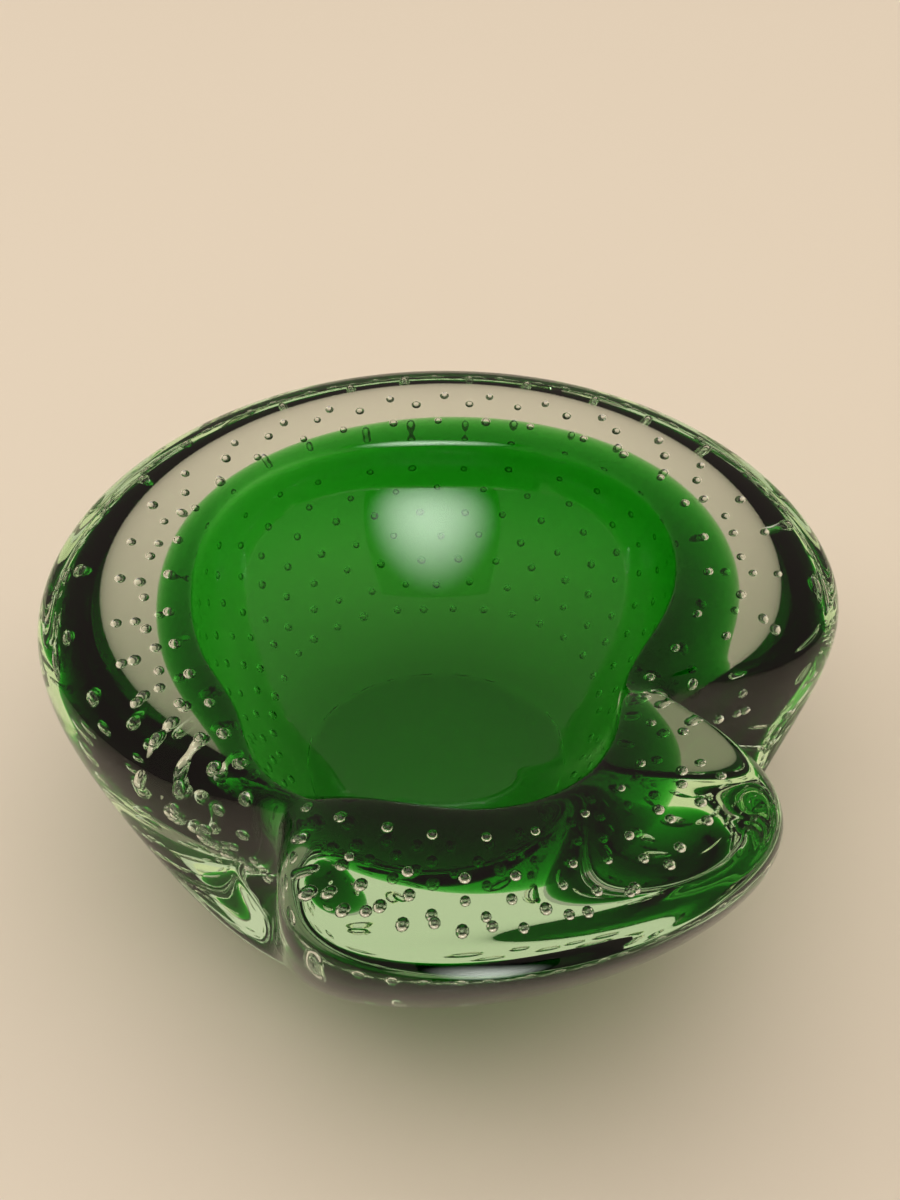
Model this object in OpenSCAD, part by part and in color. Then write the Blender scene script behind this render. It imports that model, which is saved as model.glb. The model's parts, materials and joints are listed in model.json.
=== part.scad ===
// Pinched bowl of cased glass. A thick clear casing holds a green inner cup, and
// staggered rows of air bubbles are trapped in the clear glass just outside the cup.
// Millimetres, +Z up. The origin is the middle of the ground base. The broad front
// lobe lies towards -Y, between the two folds of the rim. Angles run from +X.

/* [Bowl] */
// Radius that the rim outline is drawn around
rim_r = 80; // [70:1:95]
// Height from the ground base to the crest of the rim
height = 62; // [58:1:72]
// Radius of the ground base
base_r = 35; // [30:1:38]
// How far the ground base stands below the rest of the underside
base_step = 0.8; // [0.5:0.1:1.5]
// Thickness of all the glass under the middle of the cavity
floor_t = 22; // [20:1:28]
// How far the rim's shoulder drops from its crest to its widest line
shoulder = 9; // [7:0.5:12]

/* [Folds] */
// Angle of the left fold's crease
left_at = 237; // [232:1:242]
// Angle of the right fold's crease
right_at = 342; // [336:1:345]
// How far the left fold is pressed in, as a share of rim_r
left_depth = 0.34; // [0.25:0.01:0.36]
// How far the right fold is pressed in, as a share of rim_r
right_depth = 0.42; // [0.3:0.01:0.43]
// How far the crest of the rim dips in a fold
dip = 5; // [3:0.5:8]
// How much further the rim's widest line dips in a fold
outer_dip = 9; // [4:1:10]

/* [Green cup] */
// Share of the rim's width that the green glass takes up, on average
green_share = 0.41; // [0.3:0.01:0.44]
// How far the green cup's shoulder slopes down from the lip
green_shoulder = 10; // [7:0.5:12]
// How much thinner the green wall is below its shoulder, as a share
green_waist = 0.5; // [0.2:0.05:0.6]
// Thickness of the green glass under the cavity
green_floor = 9; // [5:0.5:10]

/* [Bubbles] */
// Bubbles in one row round the bowl
bubbles_a_row = 38; // [24:1:40]
// Radius of a bubble
bubble_r = 1.0; // [0.6:0.1:1.2]

/* [Mesh] */
// Columns of facets round the bowl
columns = 84; // [72:4:96]

/* [Hidden] */
shoulder_rows = [0.28, 0.62, 0.95];   // bubble rows over the cup's shoulder: 0 lip, 1 its widest line
wall_rows = [for (k = [0 : 6]) 1.08 + 0.072 * k];  // and down its wall: 1 widest line, 2 floor
row_places = concat(shoulder_rows, wall_rows);
row_offs = [2.4, 3.5, 7, 5.5, 4.5, 4, 3.6, 3.6, 3.6, 3.6];  // from the green to a bubble's centre
rows = len(row_places);
$fn = 64;

clear_colour = [0.74, 0.82, 0.68, 0.35];
green_colour = [0.10, 0.52, 0.16, 0.85];
air_colour = [0.93, 0.96, 0.90];

wall_rings = 12;           // rings of points up the outside wall
top_rings = 10;            // over the rim, from its widest line to the lip, where the glasses meet
cavity_rings = 13;         // down the cavity
shoulder_rings = 5;        // out over the green cup's shoulder
cup_rings = 10;            // and down its wall
lip_drop = 3;              // from the crest to the top of the cavity wall
cup_power = 0.85;          // below 1 the cavity has a flatter floor than an ellipse
floor_share = 0.6;         // the cavity grows round towards this share of rim_r at its floor
wall_power = 1.2;          // above 1 the outside wall rises steeply from the base before it flares
brim_power = 2;            // above 1 the wall turns upright at its widest line
edge_power = 0.6;          // below 1 the rim is flatter than an ellipse, on its outer side
lip_power = 0.8;           // and on its inner side
underside = 1;             // width of the step round the ground base
shoulder_power = 1.2;      // above 1 the green shoulder starts level at the lip
waist_run = 0.4;           // how far below the cup's widest line its wall has reached its thinnest
thinnest = 7;              // no bubble where the clear rim is thinner than this
off_share = 0.4;           // and none further out than this share of the clear rim
big_at = 225;              // bubbles are biggest round this angle
big_wide = 60;             // and within about this many degrees of it
big_share = 0.3;           // by this share
step_jitter = 0.12;        // unevenness of the bubbles along a row, as a share of a step
row_jitter = 0.006;        // up and down, as a share of the cup
size_jitter = 0.14;        // and of their size
seed = 7;                  // for the small unevenness of handwork

function ease(t) = let (c = min(1, max(0, t))) c * c * (3 - 2 * c);
function away(a, b) = ((a - b + 900) % 360) - 180;
function bump(a, at, wide) = exp(-pow(away(a, at) / wide, 2));

// One fold of the rim: 1 in the crease, falling off at its own rate on each side
function pinch(a, at, before, after) =
    let (d = away(a, at), x = d / (d < 0 ? before : after), soft = 0.16)
    exp(-pow(sqrt(x * x + soft * soft) - soft, 1.3));
function left_fold(a) = pinch(a, left_at, 30, 9);
function right_fold(a) = pinch(a, right_at, 9, 11);
function front_lobe(a) = bump(a, 288, 28);

// Outlines seen from above, as shares of rim_r
function free_rim(a) = 1.045 + 0.02 * cos(2 * (a - 15)) + 0.03 * sin(a) - 0.05 * bump(a, 206, 22);
function lip(a) = 0.63 + 0.09 * sin(a) - 0.03 * cos(4 * a)
    + 0.06 * bump(a, 280, 26) - 0.065 * bump(a, 207, 17) - 0.12 * bump(a, 340, 26);

// Height shares t run from 0 at the base to 1 at the rim's widest line. The folds
// fade away below it, and the front lobe overhangs.
function outline(a, t) =
    let (left = left_depth * left_fold(a) * ease((t - 0.2) / 0.75),
         right = right_depth * right_fold(a) * ease((t - 0.35) / 0.6),
         lobe = 0.05 * front_lobe(a) * pow(t, 3))
    rim_r * (free_rim(a) + lobe - left - right);
function crest(a) = height - dip * (left_fold(a) + right_fold(a));
function drop(a) = shoulder * (1 - 0.55 * front_lobe(a)) + outer_dip * (left_fold(a) + right_fold(a));
function widest_z(a) = crest(a) - drop(a);
function lip_r(a) = rim_r * lip(a);
function lip_z(a) = crest(a) - lip_drop;
function rim_width(a) = outline(a, 1) - lip_r(a);
function green_t(a) =
    rim_width(a) * (green_share + 0.055 * sin(a) + 0.075 * cos(a) - 0.06 * cos(2 * a));

// Half sections at angle a, as [radius, height]
function wall(a, t) =
    let (foot = base_r + underside, flare = 1 - pow(1 - pow(t, wall_power), brim_power))
    [foot + (outline(a, t) - foot) * flare, base_step + (widest_z(a) - base_step) * t];
function over(a, q) =
    let (mid = lip_r(a) + rim_width(a) / 2,
         low = q < 0.5 ? widest_z(a) : lip_z(a),
         flat = q < 0.5 ? edge_power : lip_power)
    [mid + rim_width(a) / 2 * cos(180 * q), low + (crest(a) - low) * pow(sin(180 * q), flat)];
function round_off(r, phi) = rim_r * floor_share + (r - rim_r * floor_share) * ease(phi / 85);
function cavity(a, phi) =
    [round_off(lip_r(a), phi) * pow(sin(phi), cup_power), floor_t + (lip_z(a) - floor_t) * (1 - cos(phi))];
// Outside of the green cup: v from 0 at the lip to 1 at its widest line and 2 under the floor
function cup(a, v) =
    let (wide = lip_z(a) - min(green_shoulder, 0.5 * rim_width(a)), low = floor_t - green_floor,
         phi = 90 * (2 - v), thick = green_t(a) * (1 - green_waist * ease((v - 1) / waist_run)))
    v < 1 ? [lip_r(a) + green_t(a) * sin(90 * v), lip_z(a) + (wide - lip_z(a)) * pow(v, shoulder_power)]
          : [round_off(lip_r(a) + thick, phi) * pow(sin(phi), cup_power),
             low + (wide - low) * (1 - cos(phi))];

// Columns stand closer together at the folds
crowd = [for (a = 0, sum = 0; a <= 360;
              sum = sum + 1 + 2 * bump(a, left_at, 24) + 2.4 * bump(a, right_at, 20), a = a + 1) [sum, a]];
around = [for (i = [0 : columns - 1]) lookup(i * crowd[360][0] / columns, crowd)];

function place(a, p) = [p[0] * cos(a), p[0] * sin(a), p[1]];
function wall_ring(i) = [for (a = around) place(a, wall(a, pow(i / wall_rings, 1.4)))];
function over_ring(q) = [for (a = around) place(a, over(a, q))];
function cavity_ring(phi) = [for (a = around) place(a, cavity(a, phi))];
function cup_ring(v) = [for (a = around) place(a, cup(a, v))];
cup_steps = concat([for (i = [1 : shoulder_rings]) i / shoulder_rings],
                   [for (i = [1 : cup_rings - 1]) 1 + i / cup_rings]);

// A closed skin from a pole through rings of points to another pole
module skin(first, rings, last) {
    n = len(rings);
    points = concat([first], [for (ring = rings) each ring], [last]);
    function at(i, j) = 1 + i * columns + j % columns;
    polyhedron(points, concat(
        [for (j = [0 : columns - 1]) [0, at(0, j), at(0, j + 1)]],
        [for (i = [0 : n - 2], j = [0 : columns - 1]) each [
            [at(i, j), at(i + 1, j), at(i + 1, j + 1)],
            [at(i, j), at(i + 1, j + 1), at(i, j + 1)]]],
        [for (j = [0 : columns - 1]) [at(n - 1, j), n * columns + 1, at(n - 1, j + 1)]]));
}

// A bubble row is staggered by half a step against the one above it
function row_bubbles(k) =
    let (jitter = rands(-1, 1, 3 * bubbles_a_row, seed + k))
    [for (j = [0 : bubbles_a_row - 1])
        let (a = (j + (k % 2) / 2 + step_jitter * jitter[3 * j]) * 360 / bubbles_a_row,
             v = row_places[k - 1] + row_jitter * jitter[3 * j + 1],
             here = cup(a, v), ahead = cup(a, v - row_jitter),
             dr = ahead[0] - here[0], dz = ahead[1] - here[1], run = sqrt(dr * dr + dz * dz),
             clear = rim_width(a) - green_t(a),
             off = min(row_offs[k - 1], off_share * clear),
             r = bubble_r * (1 + big_share * bump(a, big_at, big_wide) + size_jitter * jitter[3 * j + 2]))
        if (clear > thinnest)
            [place(a, [here[0] + off * dz / run, here[1] - off * dr / run]), r]];

module bubbles(k) {
    for (b = row_bubbles(k)) translate(b[0]) sphere(r = b[1]);
}

module clear_casing() {
    color(clear_colour)
    difference() {
        union() {
            skin([0, 0, base_step],
                 concat([for (i = [0 : wall_rings]) wall_ring(i)],
                        [for (i = [1 : top_rings]) over_ring(i / top_rings)],
                        [for (v = cup_steps) cup_ring(v)]),
                 [0, 0, floor_t - green_floor]);
            cylinder(r = base_r, h = base_step + underside);
        }
        for (k = [1 : rows]) bubbles(k);
    }
}

module green_core() {
    color(green_colour)
    skin([0, 0, floor_t - green_floor],
         concat([for (i = [len(cup_steps) - 1 : -1 : 0]) cup_ring(cup_steps[i])],
                [for (i = [0 : cavity_rings - 1]) cavity_ring(90 * (1 - i / cavity_rings))]),
         [0, 0, floor_t]);
}

module bubble_row(k) {
    color(air_colour) bubbles(k);
}

clear_casing();
green_core();
for (k = [1 : rows]) bubble_row(k);
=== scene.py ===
"""Pinched bowl of cased bubble glass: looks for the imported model, on a pale studio floor."""

import json
import math

import bpy
from bpy.props import FloatProperty, FloatVectorProperty, IntProperty, PointerProperty
from mathutils import Matrix, Vector, kdtree, noise

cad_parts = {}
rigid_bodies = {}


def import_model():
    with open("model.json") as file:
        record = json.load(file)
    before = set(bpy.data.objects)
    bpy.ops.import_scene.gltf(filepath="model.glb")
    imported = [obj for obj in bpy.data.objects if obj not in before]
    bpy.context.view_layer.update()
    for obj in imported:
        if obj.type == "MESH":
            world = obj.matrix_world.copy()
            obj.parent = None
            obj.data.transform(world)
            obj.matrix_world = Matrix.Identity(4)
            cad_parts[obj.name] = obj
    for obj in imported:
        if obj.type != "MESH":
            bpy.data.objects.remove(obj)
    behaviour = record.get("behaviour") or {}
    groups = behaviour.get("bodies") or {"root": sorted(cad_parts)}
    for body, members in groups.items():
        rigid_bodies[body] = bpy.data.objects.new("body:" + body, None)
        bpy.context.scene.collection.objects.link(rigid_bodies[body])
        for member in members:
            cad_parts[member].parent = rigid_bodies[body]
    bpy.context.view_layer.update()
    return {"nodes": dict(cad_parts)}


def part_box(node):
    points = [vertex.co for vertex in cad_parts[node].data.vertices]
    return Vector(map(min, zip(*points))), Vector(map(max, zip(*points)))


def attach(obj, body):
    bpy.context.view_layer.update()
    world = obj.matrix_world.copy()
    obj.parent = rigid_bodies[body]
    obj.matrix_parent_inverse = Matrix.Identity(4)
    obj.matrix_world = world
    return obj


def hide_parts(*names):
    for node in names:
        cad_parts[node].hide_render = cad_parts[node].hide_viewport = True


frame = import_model()

bl_info = {
    "name": "Cased Bubble Glass Bowl",
    "version": (1, 0, 0),
    "blender": (4, 5, 0),
    "location": "View3D > Sidebar > Glass Bowl",
    "description": "Builds a pinched bowl of clear glass over green, with rows of trapped air bubbles",
    "category": "Object",
}

MM = 0.001
SAME_PLACE = 0.01 * MM
BODY = "root"
CASING, CORE = "clear_casing", "green_core"
BUBBLE_ROWS = sorted(name for name in frame["nodes"] if name.startswith("bubble_row_"))
RIM_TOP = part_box(CASING)[1][2]
LIT_POINT = Vector((0, 0, RIM_TOP / 2))  # lamps and boards face the middle of the bowl
FLOOR_WIDTH, FLOOR_Z = 8.0, -0.2 * MM  # just below the base, so that the two surfaces don't fight
# Height of the painted pool of light, between the floor and the base of the bowl
POOL_Z = FLOOR_Z / 2
MOST_ABSORBED = 0.98  # the share taken from the colour that passes least, so that none is quite black
MAX_BOUNCES, GLASS_BOUNCES, MIRROR_BOUNCES = 32, 32, 12  # a ray crosses many skins of glass and air

# An uneven hand-made bubble: how far its length may vary, over what distance, and how it lies
WOBBLE, WOBBLE_SPAN = 0.12, 9 * MM
LEAN, FOLD_LEAN = 0.35, 0.8
FOLD_THINNING = 0.12

# Name, place, width, power in watts and colour of the lamps
LAMPS = (
    ("Overhead", (-0.1, 0.25, 1.3), 2.6, 24.0, "#fff6ea"),
    ("Side", (1.1, 0.2, 0.6), 0.8, 3.0, "#fff2dc"),
    ("Far Side", (-1.1, 0.2, 0.6), 0.8, 3.0, "#fff6ea"),
)
# Name, place, width and height, colour and strength of the boards
BOARDS = (
    ("Pale Wall", (0.0, 0.9, 0.45), (3.0, 0.9), "#e8dcd6", 0.6),
    ("Right Wall", (0.8, 0.0, 0.3), (1.8, 0.9), "#fff2d4", 0.9),
    ("Left Wall", (-0.8, 0.0, 0.3), (1.8, 0.9), "#fff2d4", 0.9),
    ("Ceiling", (-0.1, 0.25, 1.3), (2.6, 2.6), "#fff4e8", 0.8),
    ("Near Table", (0.0, -0.5, 0.08), (1.6, 0.3), "#fff2e0", 0.8),
    ("Dark Room", (0.0, -0.8, 0.7), (0.9, 0.9), "#2c2624", 0.3),
)


def linear(hex_colour):
    """An sRGB hex colour as linear red, green, blue and alpha."""
    text = hex_colour.lstrip("#")
    parts = [int(text[i : i + 2], 16) / 255 for i in (0, 2, 4)]
    return (*(c / 12.92 if c <= 0.04045 else ((c + 0.055) / 1.055) ** 2.4 for c in parts), 1.0)


def absorption(through, depth):
    """Colour and density of a glass that lets these shares of red, green and blue through at this depth."""
    rates = [-math.log(share) / depth for share in through]
    density = max(rates) / MOST_ABSORBED
    return (*(1 - rate / density for rate in rates), 1.0), density


# ---------------------------------------------------------------- settings


class BowlGlassSettings(bpy.types.PropertyGroup):
    """The glass itself."""

    smoothing: IntProperty(
        name="Smoothing", description="Subdivisions of the glass skins", default=2, min=1, max=2
    )
    film: FloatProperty(
        name="Film",
        description="Clear glass left between the green layer and the surface of the cavity",
        default=0.3 * MM,
        unit="LENGTH",
    )
    clear_through: FloatVectorProperty(
        name="Clear Tint",
        description="Shares of red, green and blue that pass the clear glass at the clear depth",
        default=(0.88, 0.95, 0.84),
        min=0.01,
        max=1.0,
    )
    clear_depth: FloatProperty(
        name="Clear Depth",
        description="Depth of clear glass at which its tint holds",
        default=50 * MM,
        unit="LENGTH",
    )
    green_through: FloatVectorProperty(
        name="Green Tint",
        description="Shares of red, green and blue that pass the green glass at the green depth",
        default=(0.15, 0.6, 0.14),
        min=0.01,
        max=1.0,
    )
    green_depth: FloatProperty(
        name="Green Depth",
        description="Depth of green glass at which its tint holds",
        default=6 * MM,
        unit="LENGTH",
    )
    ior: FloatProperty(
        name="Refractive Index", description="Of soda-lime glass", default=1.5, min=1.0, max=2.0
    )


class BowlBubbleSettings(bpy.types.PropertyGroup):
    """The trapped air."""

    left_fold: FloatProperty(
        name="Left Fold",
        description="Direction of the left fold's crease from +X",
        default=math.radians(237),
        subtype="ANGLE",
    )
    right_fold: FloatProperty(
        name="Right Fold",
        description="Direction of the right fold's crease from +X",
        default=math.radians(342),
        subtype="ANGLE",
    )
    reach: FloatProperty(
        name="Reach",
        description="How far round from a fold its pull draws the bubbles out",
        default=math.radians(26),
        subtype="ANGLE",
    )
    stretch: FloatProperty(
        name="Stretch",
        description="How much longer a bubble is in a fold than elsewhere",
        default=0.4,
        min=0.0,
    )


class BowlStageSettings(bpy.types.PropertyGroup):
    """Floor, light and camera."""

    room_light: FloatProperty(
        name="Room Light", description="Strength of the soft light all round", default=0.45
    )
    lens: FloatProperty(name="Lens", description="Focal length on a 36 mm sensor", default=55.5)
    distance: FloatProperty(
        name="Distance",
        description="From the camera to the middle of the rim",
        default=0.364,
        unit="LENGTH",
    )
    elevation: FloatProperty(
        name="Elevation",
        description="Angle of the camera above the rim's plane",
        default=math.radians(45),
        subtype="ANGLE",
    )
    aim: FloatVectorProperty(
        name="Aim",
        description="Right and up from the middle of the rim to the middle of the view",
        size=2,
        default=(2.6 * MM, 3.3 * MM),
        unit="LENGTH",
    )


# ---------------------------------------------------------------- mesh helpers


def choose_none():
    """Deselect everything."""
    bpy.ops.object.select_all(action="DESELECT")


def choose(*objects):
    """Select only these objects, the last one active."""
    choose_none()
    for item in objects:
        item.select_set(True)
    bpy.context.view_layer.objects.active = objects[-1]


def copy_of(node, name):
    """A free object with a merged copy of a CAD node's mesh."""
    piece = bpy.data.objects.new(name, frame["nodes"][node].data.copy())
    piece.data.materials.clear()
    bpy.context.scene.collection.objects.link(piece)
    choose(piece)
    bpy.ops.object.mode_set(mode="EDIT")
    bpy.ops.mesh.select_all(action="SELECT")
    bpy.ops.mesh.remove_doubles(threshold=SAME_PLACE)
    bpy.ops.object.mode_set(mode="OBJECT")
    return piece


def delete_chosen(piece, chosen):
    """Delete the faces for which chosen(polygon) is true."""
    choose(piece)
    bpy.ops.object.mode_set(mode="EDIT")
    bpy.ops.mesh.select_mode(type="FACE")
    bpy.ops.mesh.select_all(action="DESELECT")
    bpy.ops.object.mode_set(mode="OBJECT")
    for polygon in piece.data.polygons:
        polygon.select = chosen(polygon)
    bpy.ops.object.mode_set(mode="EDIT")
    bpy.ops.mesh.delete(type="FACE")
    bpy.ops.object.mode_set(mode="OBJECT")


def to_quads(piece):
    """Pair the triangles into quads, so that smoothing leaves no dents."""
    choose(piece)
    bpy.ops.object.mode_set(mode="EDIT")
    bpy.ops.mesh.select_all(action="SELECT")
    bpy.ops.mesh.tris_convert_to_quads(face_threshold=math.pi, shape_threshold=math.pi)
    bpy.ops.object.mode_set(mode="OBJECT")


def keep_biggest(piece):
    """Drop every loose shell but the biggest, which removes the cavities round the bubbles."""
    choose(piece)
    bpy.ops.mesh.separate(type="LOOSE")
    shells = list(bpy.context.selected_objects)
    shells.sort(key=lambda shell: len(shell.data.polygons))
    biggest = shells.pop()
    name = piece.name
    bpy.data.batch_remove([shell.data for shell in shells])
    choose(biggest)
    biggest.name = name
    return biggest


def shared_points(first, second):
    """A test of whether a point of the first mesh is also a point of the second."""
    tree = kdtree.KDTree(len(second.data.vertices))
    for vertex in second.data.vertices:
        tree.insert(vertex.co, vertex.index)
    tree.balance()
    return [tree.find(vertex.co)[2] < SAME_PLACE for vertex in first.data.vertices]


def subdivide(piece, levels):
    """Apply a Subdivision Surface modifier."""
    choose(piece)
    smooth = piece.modifiers.new("Smooth", "SUBSURF")
    smooth.levels = smooth.render_levels = levels
    bpy.ops.object.modifier_apply(modifier=smooth.name)
    bpy.ops.object.shade_smooth()


def swell(piece, distance):
    """Move the whole surface outwards, or inwards if distance is negative."""
    choose(piece)
    push = piece.modifiers.new("Swell", "DISPLACE")
    push.direction = "NORMAL"
    push.mid_level = 0.0
    push.strength = distance
    bpy.ops.object.modifier_apply(modifier=push.name)


def settle(piece, slot, material, *nodes):
    """Give a finished piece its body and its material, and hide the CAD nodes it stands for; the slot is
    not used.
    """
    piece.data.materials.clear()
    piece.data.materials.append(material)
    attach(piece, BODY)
    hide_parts(*nodes)


# ---------------------------------------------------------------- materials


def add_node(tree, kind, links=(), **values):
    """Add a node, set its inputs by name with _ for a space, and link (output, input) pairs to it."""
    node = tree.nodes.new(kind)
    for key, value in values.items():
        socket = node.inputs.get(key.replace("_", " "))
        if socket is not None:
            socket.default_value = value
        else:
            setattr(node, key, value)
    for source, name in links:
        tree.links.new(source, node.inputs[name])
    return node


def new_material(name):
    """An empty material and its node tree."""
    material = bpy.data.materials.new(name)
    material.use_nodes = True
    material.node_tree.nodes.clear()
    return material, material.node_tree


def clear_fire_polished_glass(glass):
    """Soda-lime glass, fire polished: a mirror-smooth skin, and a faint green in the depth of it."""
    material, tree = new_material("clear_fire_polished_glass")
    colour, density = absorption(glass.clear_through, glass.clear_depth)
    skin = add_node(tree, "ShaderNodeBsdfPrincipled", Base_Color=(1, 1, 1, 1), Roughness=0.0, IOR=glass.ior,
                    Transmission_Weight=1.0)
    depth = add_node(tree, "ShaderNodeVolumeAbsorption", Color=colour, Density=density)
    add_node(tree, "ShaderNodeOutputMaterial", [(skin.outputs[0], "Surface"), (depth.outputs[0], "Volume")])
    return material


def emerald_cased_glass(glass):
    """The green glass, fused to the clear: no mirror at the seam, only a colour that deepens inside."""
    material, tree = new_material("emerald_cased_glass")
    colour, density = absorption(glass.green_through, glass.green_depth)
    skin = add_node(tree, "ShaderNodeBsdfPrincipled", Base_Color=(1, 1, 1, 1), Roughness=0.0, IOR=1.0,
                    Transmission_Weight=1.0)
    depth = add_node(tree, "ShaderNodeVolumeAbsorption", Color=colour, Density=density)
    add_node(tree, "ShaderNodeOutputMaterial", [(skin.outputs[0], "Surface"), (depth.outputs[0], "Volume")])
    return material


def trapped_air(ior):
    """Air in glass: light bends the other way at its skin, so a bubble has a dark edge and a spark."""
    material, tree = new_material("trapped_air")
    skin = add_node(tree, "ShaderNodeBsdfGlass", Color=(1, 1, 1, 1), Roughness=0.0, IOR=1 / ior)
    add_node(tree, "ShaderNodeOutputMaterial", [(skin.outputs[0], "Surface")])
    return material


def pale_laminate():
    """Satin laminate of the table top: pale cream with a soft sheen."""
    material, tree = new_material("pale_laminate")
    place = add_node(tree, "ShaderNodeTexCoord")
    clouds = add_node(tree, "ShaderNodeTexNoise", [(place.outputs["Object"], "Vector")], Scale=3.0,
                      Detail=2.0)
    tones = add_node(tree, "ShaderNodeValToRGB", [(clouds.outputs["Fac"], "Fac")])
    tones.color_ramp.elements[0].color = linear("#d9d0c0")
    tones.color_ramp.elements[1].color = linear("#ded6c8")
    skin = add_node(tree, "ShaderNodeBsdfPrincipled", [(tones.outputs["Color"], "Base Color")],
                    Roughness=0.45)
    add_node(tree, "ShaderNodeOutputMaterial", [(skin.outputs[0], "Surface")])
    return material


# ---------------------------------------------------------------- operators


class BOWL_OT_casing(bpy.types.Operator):
    """The clear casing: the whole outer skin of the bowl, the cavity's included, with no seam inside"""

    bl_idname = "bowl.casing"
    bl_label = "Clear Casing"

    def execute(self, context):
        glass = context.scene.bowl_glass
        casing = keep_biggest(copy_of(CASING, "clear_casing_glass"))
        core = copy_of(CORE, "cavity_skin")
        casing_shared = shared_points(casing, core)
        core_shared = shared_points(core, casing)
        delete_chosen(casing, lambda face: all(casing_shared[i] for i in face.vertices))
        delete_chosen(core, lambda face: all(core_shared[i] for i in face.vertices))
        choose(core, casing)
        bpy.ops.object.join()
        bpy.ops.object.mode_set(mode="EDIT")
        bpy.ops.mesh.select_all(action="SELECT")
        bpy.ops.mesh.remove_doubles(threshold=SAME_PLACE)
        bpy.ops.mesh.normals_make_consistent(inside=False)
        bpy.ops.object.mode_set(mode="OBJECT")
        to_quads(casing)
        subdivide(casing, glass.smoothing)
        settle(casing, "clear_glass", clear_fire_polished_glass(glass), CASING)
        return {"FINISHED"}


class BOWL_OT_cup(bpy.types.Operator):
    """The green cup, set a hair's breadth inside the surface of the cavity"""

    bl_idname = "bowl.cup"
    bl_label = "Green Cup"

    def execute(self, context):
        glass = context.scene.bowl_glass
        cup = copy_of(CORE, "green_cup_glass")
        to_quads(cup)
        subdivide(cup, glass.smoothing)
        swell(cup, -glass.film)
        settle(cup, "green_glass", emerald_cased_glass(glass), CORE)
        return {"FINISHED"}


class BOWL_OT_bubbles(bpy.types.Operator):
    """The rows of trapped air, each bubble drawn out where the glass was folded"""

    bl_idname = "bowl.bubbles"
    bl_label = "Trapped Bubbles"

    def execute(self, context):
        glass, air = context.scene.bowl_glass, context.scene.bowl_bubbles
        material = trapped_air(glass.ior)
        for node in BUBBLE_ROWS:
            settle(self.row(node, air), "air_bubble", material, node)
        return {"FINISHED"}

    def row(self, node, air):
        """One row: a round bubble is modelled once and copied to each place that the frame gives."""
        marks = copy_of(node, "marks")
        choose(marks)
        bpy.ops.mesh.separate(type="LOOSE")
        spots = []
        for mark in list(bpy.context.selected_objects):
            points = [vertex.co for vertex in mark.data.vertices]
            low = Vector(min(p[i] for p in points) for i in range(3))
            high = Vector(max(p[i] for p in points) for i in range(3))
            spots.append(((low + high) / 2, (high - low).length / (2 * math.sqrt(3))))
            bpy.data.meshes.remove(mark.data)
        spots.sort(key=lambda spot: math.atan2(spot[0].y, spot[0].x))
        choose_none()
        bpy.ops.mesh.primitive_ico_sphere_add(subdivisions=2, radius=1.0)
        pattern = bpy.context.object
        copies = []
        for centre, radius in spots:
            copy = bpy.data.objects.new(node, pattern.data.copy())
            bpy.context.scene.collection.objects.link(copy)
            copy.matrix_world = self.place(centre, radius, air)
            copies.append(copy)
        bpy.data.meshes.remove(pattern.data)
        choose(*copies)
        bpy.ops.object.join()
        piece = bpy.context.object
        piece.name = node + "_air"
        bpy.ops.object.transform_apply(location=True, rotation=True, scale=True)
        bpy.ops.object.shade_smooth()
        return piece

    def place(self, centre, radius, air):
        """Where a bubble goes, which way it lies and how far it is drawn out."""
        around = math.atan2(centre.y, centre.x)
        pull = max(
            math.exp(-((math.remainder(around - fold, math.tau) / air.reach) ** 2))
            for fold in (air.left_fold, air.right_fold)
        )
        long = 1 + air.stretch * pull + WOBBLE * noise.noise(centre / WOBBLE_SPAN)
        outward = Vector((centre.x, centre.y, 0)).normalized()
        lean = (outward * (LEAN + FOLD_LEAN * pull) + Vector((0, 0, 1))).normalized()
        turn = lean.to_track_quat("Z", "Y").to_matrix().to_4x4()
        scale = Matrix.Diagonal((radius, radius * (1 - FOLD_THINNING * pull), radius * long, 1))
        return Matrix.Translation(centre) @ turn @ scale


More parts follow.
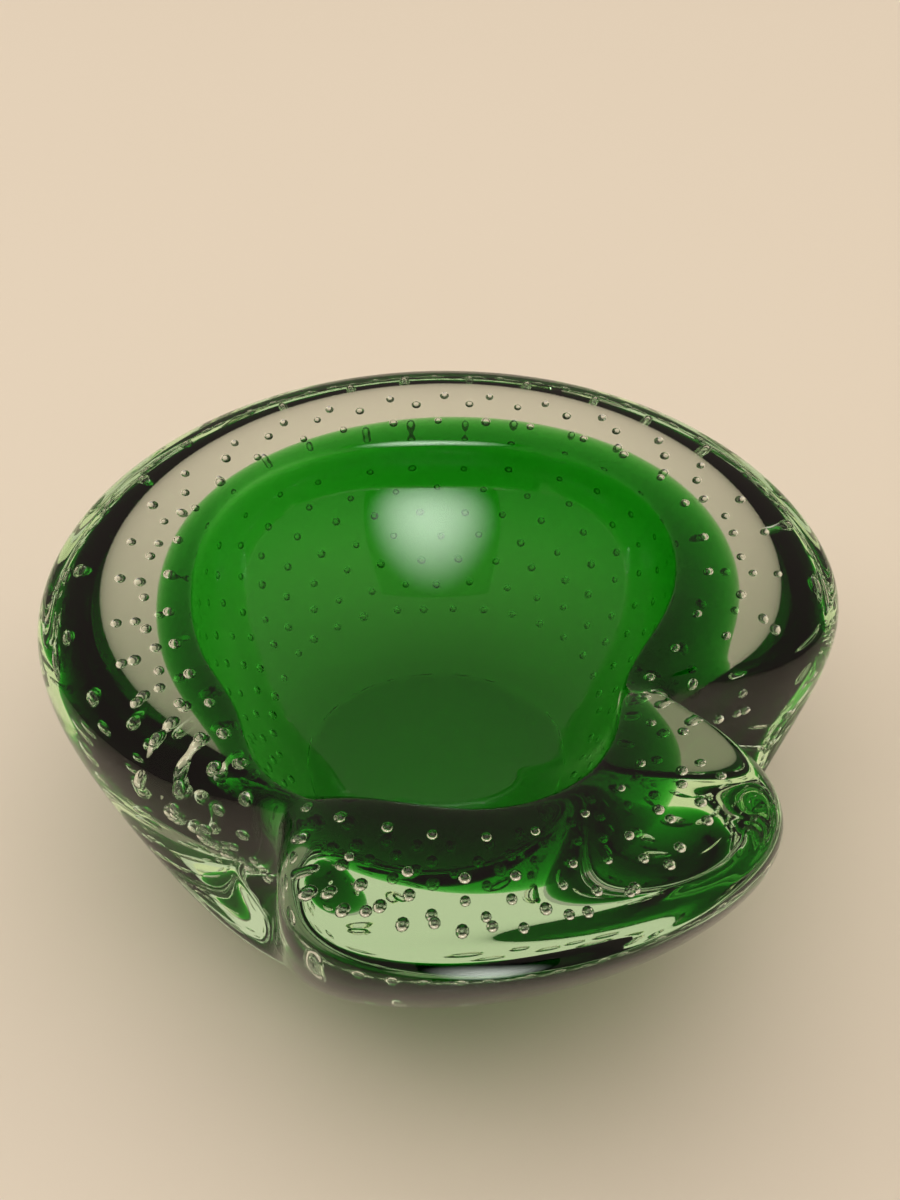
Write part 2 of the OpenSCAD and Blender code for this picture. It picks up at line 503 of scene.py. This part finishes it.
class BOWL_OT_stage(bpy.types.Operator):
    """The floor, the lights and the camera"""

    bl_idname = "bowl.stage"
    bl_label = "Studio"

    def execute(self, context):
        stage = context.scene.bowl_stage
        self.floor()
        self.world(stage)
        for lamp in LAMPS:
            self.soft_box(*lamp)
        for board in BOARDS:
            self.card(*board)
        self.window("Window", (0.02, -0.6, 0.45), (0.42, 1.2), "#f4fff0", 12.0)
        # A painted pool of light under the bowl: a glowing disc where light through the glass would fall on
        # the table
        self.painted_light_pool("Painted Light Pool", 0.2, "#ddd2bc", 0.2)
        self.camera(stage)
        return {"FINISHED"}

    def floor(self):
        choose_none()
        bpy.ops.mesh.primitive_plane_add(size=FLOOR_WIDTH, location=(0, 0, FLOOR_Z))
        floor = bpy.context.object
        floor.name = "Floor"
        floor.data.materials.append(pale_laminate())

    def world(self, stage):
        world = bpy.data.worlds.new("Soft Room")
        bpy.context.scene.world = world
        world.use_nodes = True
        background = world.node_tree.nodes["Background"]
        background.inputs["Color"].default_value = linear("#c8b6aa")
        background.inputs["Strength"].default_value = stage.room_light

    def soft_box(self, name, place, size, power, colour):
        """A round lamp that lights the table but isn't seen in or through the glass."""
        light = bpy.data.lights.new(name, "AREA")
        light.shape = "DISK"
        light.size = size
        light.energy = power
        light.color = linear(colour)[:3]
        lamp = bpy.data.objects.new(name, light)
        lamp.location = place
        lamp.rotation_euler = (LIT_POINT - Vector(place)).to_track_quat("-Z", "Y").to_euler()
        lamp.visible_glossy = False
        lamp.visible_transmission = False
        bpy.context.scene.collection.objects.link(lamp)

    def card(self, name, place, size, colour, strength):
        """A board that is seen only through the glass: part of the room around the table."""
        choose_none()
        bpy.ops.mesh.primitive_plane_add(size=1.0)
        card = bpy.context.object
        card.name = name
        card.scale = (*size, 1)
        card.location = place
        card.rotation_euler = (LIT_POINT - Vector(place)).to_track_quat("Z", "Y").to_euler()
        card.visible_camera = False
        card.visible_diffuse = False
        card.visible_shadow = False
        card.visible_glossy = False
        material, tree = new_material(name)
        glow = add_node(tree, "ShaderNodeEmission", Color=linear(colour), Strength=strength)
        add_node(tree, "ShaderNodeOutputMaterial", [(glow.outputs[0], "Surface")])
        card.data.materials.append(material)
        return card

    def window(self, name, place, size, colour, strength):
        """A card that is seen only mirrored in the glass, and fades out towards its edges."""
        window = self.card(name, place, size, colour, strength)
        window.visible_glossy = True
        window.visible_transmission = False
        self.fade(window.data.materials[0].node_tree, strength)

    def painted_light_pool(self, name, width, colour, strength):
        """A painted pool of light: a glowing disc on the table under the bowl, seen only through the glass,
        standing in for the light that falls through the bowl.
        """
        pool = self.card(name, (0, 0, POOL_Z), (width, width), colour, strength)
        pool.rotation_euler = (0, 0, 0)
        tree = pool.data.materials[0].node_tree
        self.fade(tree, strength)
        through = add_node(tree, "ShaderNodeBsdfTransparent")
        glow = tree.nodes["Emission"]
        both = add_node(tree, "ShaderNodeAddShader", [(through.outputs[0], 0), (glow.outputs[0], 1)])
        tree.links.new(both.outputs[0], tree.nodes["Material Output"].inputs["Surface"])

    def fade(self, tree, strength):
        """Make a card's glow fall smoothly from its full strength in the middle to none at the edge."""
        where = add_node(tree, "ShaderNodeTexCoord")
        out = add_node(tree, "ShaderNodeVectorMath", [(where.outputs["Object"], "Vector")],
                       operation="LENGTH")
        fall = add_node(tree, "ShaderNodeMapRange", [(out.outputs["Value"], "Value")],
                        interpolation_type="SMOOTHSTEP", From_Max=0.5, To_Min=strength, To_Max=0.0)
        tree.links.new(fall.outputs["Result"], tree.nodes["Emission"].inputs["Strength"])

    def camera(self, stage):
        data = bpy.data.cameras.new("Camera")
        data.sensor_width = 36
        data.lens = stage.lens
        camera = bpy.data.objects.new("Camera", data)
        bpy.context.scene.collection.objects.link(camera)
        ahead = Vector((0, math.cos(stage.elevation), -math.sin(stage.elevation)))
        up = Vector((0, math.sin(stage.elevation), math.cos(stage.elevation)))
        target = Vector((stage.aim[0], 0, RIM_TOP)) + up * stage.aim[1]
        camera.location = target - ahead * stage.distance
        camera.rotation_euler = ahead.to_track_quat("-Z", "Y").to_euler()
        bpy.context.scene.camera = camera


class BOWL_PT_panel(bpy.types.Panel):
    """Lists the steps that build the bowl"""

    bl_label = "Glass Bowl"
    bl_idname = "BOWL_PT_panel"
    bl_space_type = "VIEW_3D"
    bl_region_type = "UI"
    bl_category = "Glass Bowl"

    def draw(self, context):
        for step in STEPS:
            self.layout.operator(step.bl_idname)


STEPS = (BOWL_OT_casing, BOWL_OT_cup, BOWL_OT_bubbles, BOWL_OT_stage)
SETTINGS = {
    "bowl_glass": BowlGlassSettings,
    "bowl_bubbles": BowlBubbleSettings,
    "bowl_stage": BowlStageSettings,
}


def register():
    for cls in (*SETTINGS.values(), *STEPS, BOWL_PT_panel):
        bpy.utils.register_class(cls)
    for name, cls in SETTINGS.items():
        setattr(bpy.types.Scene, name, PointerProperty(type=cls))


def unregister():
    for name in SETTINGS:
        delattr(bpy.types.Scene, name)
    for cls in (BOWL_PT_panel, *reversed(STEPS), *reversed(SETTINGS.values())):
        bpy.utils.unregister_class(cls)


def main():
    register()
    bpy.ops.bowl.casing()
    bpy.ops.bowl.cup()
    bpy.ops.bowl.bubbles()
    bpy.ops.bowl.stage()
    scene = bpy.context.scene
    scene.view_settings.view_transform = "Standard"
    scene.cycles.max_bounces = MAX_BOUNCES
    scene.cycles.transmission_bounces = GLASS_BOUNCES
    scene.cycles.glossy_bounces = MIRROR_BOUNCES


if __name__ == "__main__":
    main()
